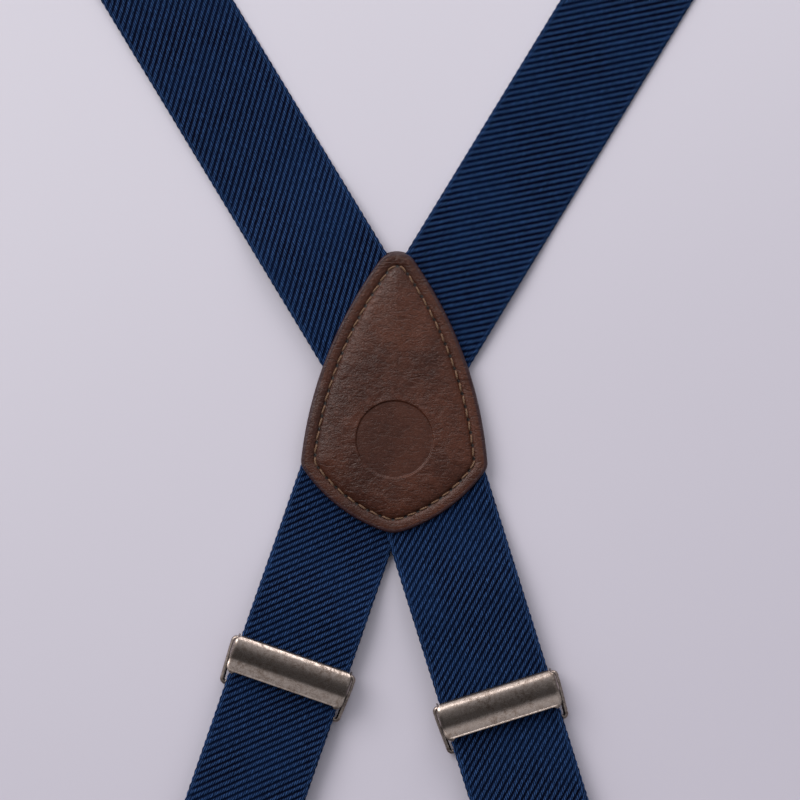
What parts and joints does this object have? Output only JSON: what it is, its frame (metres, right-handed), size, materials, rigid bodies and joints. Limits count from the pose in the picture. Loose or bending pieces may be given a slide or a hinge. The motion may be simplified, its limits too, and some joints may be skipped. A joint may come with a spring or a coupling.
{
  "type": "x-back suspenders",
  "caption": "X-back elastic suspenders laid flat: crossed twill straps, stitched leather patch, toothed strap adjusters and sprung trouser clips.",
  "frame": {"origin": "on the surface that the suspenders lie on, under the crossing of the straps, at the back patch's underside", "axes": "+Y towards the shoulders and trouser fronts, +X towards the wearer's right, +Z out of the wearer's back"},
  "size_m": [0.7852, 0.9475, 0.0123],
  "materials": {
    "elastic": "navy twill-ribbed elastic webbing",
    "leather": "brown semi-gloss smooth leather",
    "patch_thread": "tan sewing thread",
    "strap_thread": "navy sewing thread",
    "aged_nickel": "antique nickel plate, mottled",
    "spring_steel": "plain spring steel",
    "jaw_plastic": "black moulded plastic"
  },
  "bodies": {
    "patch_and_straps": {"left_shoulder_strap": "elastic", "right_shoulder_strap": "elastic", "back_patch": "leather", "front_patch": "leather", "patch_stitching": "patch_thread"},
    "front_left_strap_end": {"front_left_strap_end": "elastic"},
    "front_left_adjuster": {"front_left_adjuster_bail": "aged_nickel", "front_left_end_stitching": "strap_thread"},
    "front_left_adjuster_cover": {"front_left_adjuster_cover": "aged_nickel"},
    "front_left_ring": {"front_left_ring": "aged_nickel"},
    "front_left_clip": {"front_left_clip_back_plate": "aged_nickel", "front_left_clip_pin": "aged_nickel", "front_left_clip_spring": "spring_steel", "front_left_clip_back_pad": "jaw_plastic"},
    "front_left_clip_lever": {"front_left_clip_lever": "aged_nickel", "front_left_clip_front_pad": "jaw_plastic"},
    "front_right_strap_end": {"front_right_strap_end": "elastic"},
    "front_right_adjuster": {"front_right_adjuster_bail": "aged_nickel", "front_right_end_stitching": "strap_thread"},
    "front_right_adjuster_cover": {"front_right_adjuster_cover": "aged_nickel"},
    "front_right_ring": {"front_right_ring": "aged_nickel"},
    "front_right_clip": {"front_right_clip_back_plate": "aged_nickel", "front_right_clip_pin": "aged_nickel", "front_right_clip_spring": "spring_steel", "front_right_clip_back_pad": "jaw_plastic"},
    "front_right_clip_lever": {"front_right_clip_lever": "aged_nickel", "front_right_clip_front_pad": "jaw_plastic"},
    "rear_left_strap_end": {"rear_left_strap_end": "elastic"},
    "rear_left_adjuster": {"rear_left_adjuster_bail": "aged_nickel", "rear_left_end_stitching": "strap_thread"},
    "rear_left_adjuster_cover": {"rear_left_adjuster_cover": "aged_nickel"},
    "rear_left_ring": {"rear_left_ring": "aged_nickel"},
    "rear_left_clip": {"rear_left_clip_back_plate": "aged_nickel", "rear_left_clip_pin": "aged_nickel", "rear_left_clip_spring": "spring_steel", "rear_left_clip_back_pad": "jaw_plastic"},
    "rear_left_clip_lever": {"rear_left_clip_lever": "aged_nickel", "rear_left_clip_front_pad": "jaw_plastic"},
    "rear_right_strap_end": {"rear_right_strap_end": "elastic"},
    "rear_right_adjuster": {"rear_right_adjuster_bail": "aged_nickel", "rear_right_end_stitching": "strap_thread"},
    "rear_right_adjuster_cover": {"rear_right_adjuster_cover": "aged_nickel"},
    "rear_right_ring": {"rear_right_ring": "aged_nickel"},
    "rear_right_clip": {"rear_right_clip_back_plate": "aged_nickel", "rear_right_clip_pin": "aged_nickel", "rear_right_clip_spring": "spring_steel", "rear_right_clip_back_pad": "jaw_plastic"},
    "rear_right_clip_lever": {"rear_right_clip_lever": "aged_nickel", "rear_right_clip_front_pad": "jaw_plastic"}
  },
  "joints": [
    {"name": "front_left_strap_length", "type": "slide", "parent": "patch_and_straps", "child": "front_left_strap_end", "axis": [0.518, -0.8554, 0], "range_m": [-0.04, 0.04], "deforming": ["front_left_strap_end"]},
    {"name": "front_left_adjuster_slide", "type": "slide", "parent": "front_left_strap_end", "child": "front_left_adjuster", "axis": [0.518, -0.8554, 0], "range_m": [-0.04, 0.04], "deforming": ["front_left_strap_end"]},
    {"name": "front_left_adjuster_lever", "type": "hinge", "parent": "front_left_adjuster", "child": "front_left_adjuster_cover", "pos_m": [-0.25598, 0.42263, 0.00375], "axis": [0.8554, 0.518, 0], "range_deg": [0, 36]},
    {"name": "front_left_ring_swivel", "type": "hinge", "parent": "front_left_strap_end", "child": "front_left_ring", "pos_m": [-0.35223, 0.58156, 0.00295], "axis": [0.8554, 0.518, 0], "range_deg": [0, 70]},
    {"name": "front_left_clip_swivel", "type": "hinge", "parent": "front_left_ring", "child": "front_left_clip", "pos_m": [-0.35923, 0.59311, 0.00295], "axis": [0.8554, 0.518, 0], "range_deg": [0, 70]},
    {"name": "front_left_clip_jaw", "type": "hinge", "parent": "front_left_clip", "child": "front_left_clip_lever", "pos_m": [-0.36959, 0.61021, 0.006], "axis": [0.8554, 0.518, 0], "range_deg": [0, 25], "stiffness_Nm_per_rad": 0.5, "springref_deg": -17.19, "deforming": ["front_left_clip_spring"]},
    {"name": "front_right_strap_length", "type": "slide", "parent": "patch_and_straps", "child": "front_right_strap_end", "axis": [-0.521, -0.8536, 0], "range_m": [-0.04, 0.04], "deforming": ["front_right_strap_end"]},
    {"name": "front_right_adjuster_slide", "type": "slide", "parent": "front_right_strap_end", "child": "front_right_adjuster", "axis": [-0.521, -0.8536, 0], "range_m": [-0.04, 0.04], "deforming": ["front_right_strap_end"]},
    {"name": "front_right_adjuster_lever", "type": "hinge", "parent": "front_right_adjuster", "child": "front_right_adjuster_cover", "pos_m": [0.25486, 0.41693, 0.00375], "axis": [0.8536, -0.521, 0], "range_deg": [0, 36]},
    {"name": "front_right_ring_swivel", "type": "hinge", "parent": "front_right_strap_end", "child": "front_right_ring", "pos_m": [0.35166, 0.57552, 0.00295], "axis": [0.8536, -0.521, 0], "range_deg": [0, 70]},
    {"name": "front_right_clip_swivel", "type": "hinge", "parent": "front_right_ring", "child": "front_right_clip", "pos_m": [0.3587, 0.58705, 0.00295], "axis": [0.8536, -0.521, 0], "range_deg": [0, 70]},
    {"name": "front_right_clip_jaw", "type": "hinge", "parent": "front_right_clip", "child": "front_right_clip_lever", "pos_m": [0.36912, 0.60412, 0.006], "axis": [0.8536, -0.521, 0], "range_deg": [0, 25], "stiffness_Nm_per_rad": 0.5, "springref_deg": -17.19, "deforming": ["front_right_clip_spring"]},
    {"name": "rear_left_strap_length", "type": "slide", "parent": "patch_and_straps", "child": "rear_left_strap_end", "axis": [0.3272, 0.9449, 0], "range_m": [-0.05, 0.004], "deforming": ["rear_left_strap_end"]},
    {"name": "rear_left_adjuster_slide", "type": "slide", "parent": "rear_left_strap_end", "child": "rear_left_adjuster", "axis": [0.3272, 0.9449, 0], "range_m": [-0.05, 0.004], "deforming": ["rear_left_strap_end"]},
    {"name": "rear_left_adjuster_lever", "type": "hinge", "parent": "rear_left_adjuster", "child": "rear_left_adjuster_cover", "pos_m": [-0.03092, -0.08575, 0.00375], "axis": [-0.9449, 0.3272, 0], "range_deg": [0, 36]},
    {"name": "rear_left_ring_swivel", "type": "hinge", "parent": "rear_left_strap_end", "child": "rear_left_ring", "pos_m": [-0.08568, -0.24389, 0.00295], "axis": [-0.9449, 0.3272, 0], "range_deg": [0, 70]},
    {"name": "rear_left_clip_swivel", "type": "hinge", "parent": "rear_left_ring", "child": "rear_left_clip", "pos_m": [-0.09009, -0.25665, 0.00295], "axis": [-0.9449, 0.3272, 0], "range_deg": [0, 70]},
    {"name": "rear_left_clip_jaw", "type": "hinge", "parent": "rear_left_clip", "child": "rear_left_clip_lever", "pos_m": [-0.09664, -0.27555, 0.006], "axis": [-0.9449, 0.3272, 0], "range_deg": [0, 25], "stiffness_Nm_per_rad": 0.5, "springref_deg": -17.19, "deforming": ["rear_left_clip_spring"]},
    {"name": "rear_right_strap_length", "type": "slide", "parent": "patch_and_straps", "child": "rear_right_strap_end", "axis": [-0.299, 0.9542, 0], "range_m": [-0.05, 0.004], "deforming": ["rear_right_strap_end"]},
    {"name": "rear_right_adjuster_slide", "type": "slide", "parent": "rear_right_strap_end", "child": "rear_right_adjuster", "axis": [-0.299, 0.9542, 0], "range_m": [-0.05, 0.004], "deforming": ["rear_right_strap_end"]},
    {"name": "rear_right_adjuster_lever", "type": "hinge", "parent": "rear_right_adjuster", "child": "rear_right_adjuster_cover", "pos_m": [0.03036, -0.09586, 0.00375], "axis": [-0.9542, -0.299, 0], "range_deg": [0, 36]},
    {"name": "rear_right_ring_swivel", "type": "hinge", "parent": "rear_right_strap_end", "child": "rear_right_ring", "pos_m": [0.0782, -0.24849, 0.00295], "axis": [-0.9542, -0.299, 0], "range_deg": [0, 70]},
    {"name": "rear_right_clip_swivel", "type": "hinge", "parent": "rear_right_ring", "child": "rear_right_clip", "pos_m": [0.08223, -0.26137, 0.00295], "axis": [-0.9542, -0.299, 0], "range_deg": [0, 70]},
    {"name": "rear_right_clip_jaw", "type": "hinge", "parent": "rear_right_clip", "child": "rear_right_clip_lever", "pos_m": [0.08821, -0.28046, 0.006], "axis": [-0.9542, -0.299, 0], "range_deg": [0, 25], "stiffness_Nm_per_rad": 0.5, "springref_deg": -17.19, "deforming": ["rear_right_clip_spring"]}
  ],
  "couplings": [
    {"joint": "front_left_adjuster_slide", "follows": "front_left_strap_length", "ratio": 1},
    {"joint": "front_right_adjuster_slide", "follows": "front_right_strap_length", "ratio": 1},
    {"joint": "rear_left_adjuster_slide", "follows": "rear_left_strap_length", "ratio": 1},
    {"joint": "rear_right_adjuster_slide", "follows": "rear_right_strap_length", "ratio": 1}
  ]
}
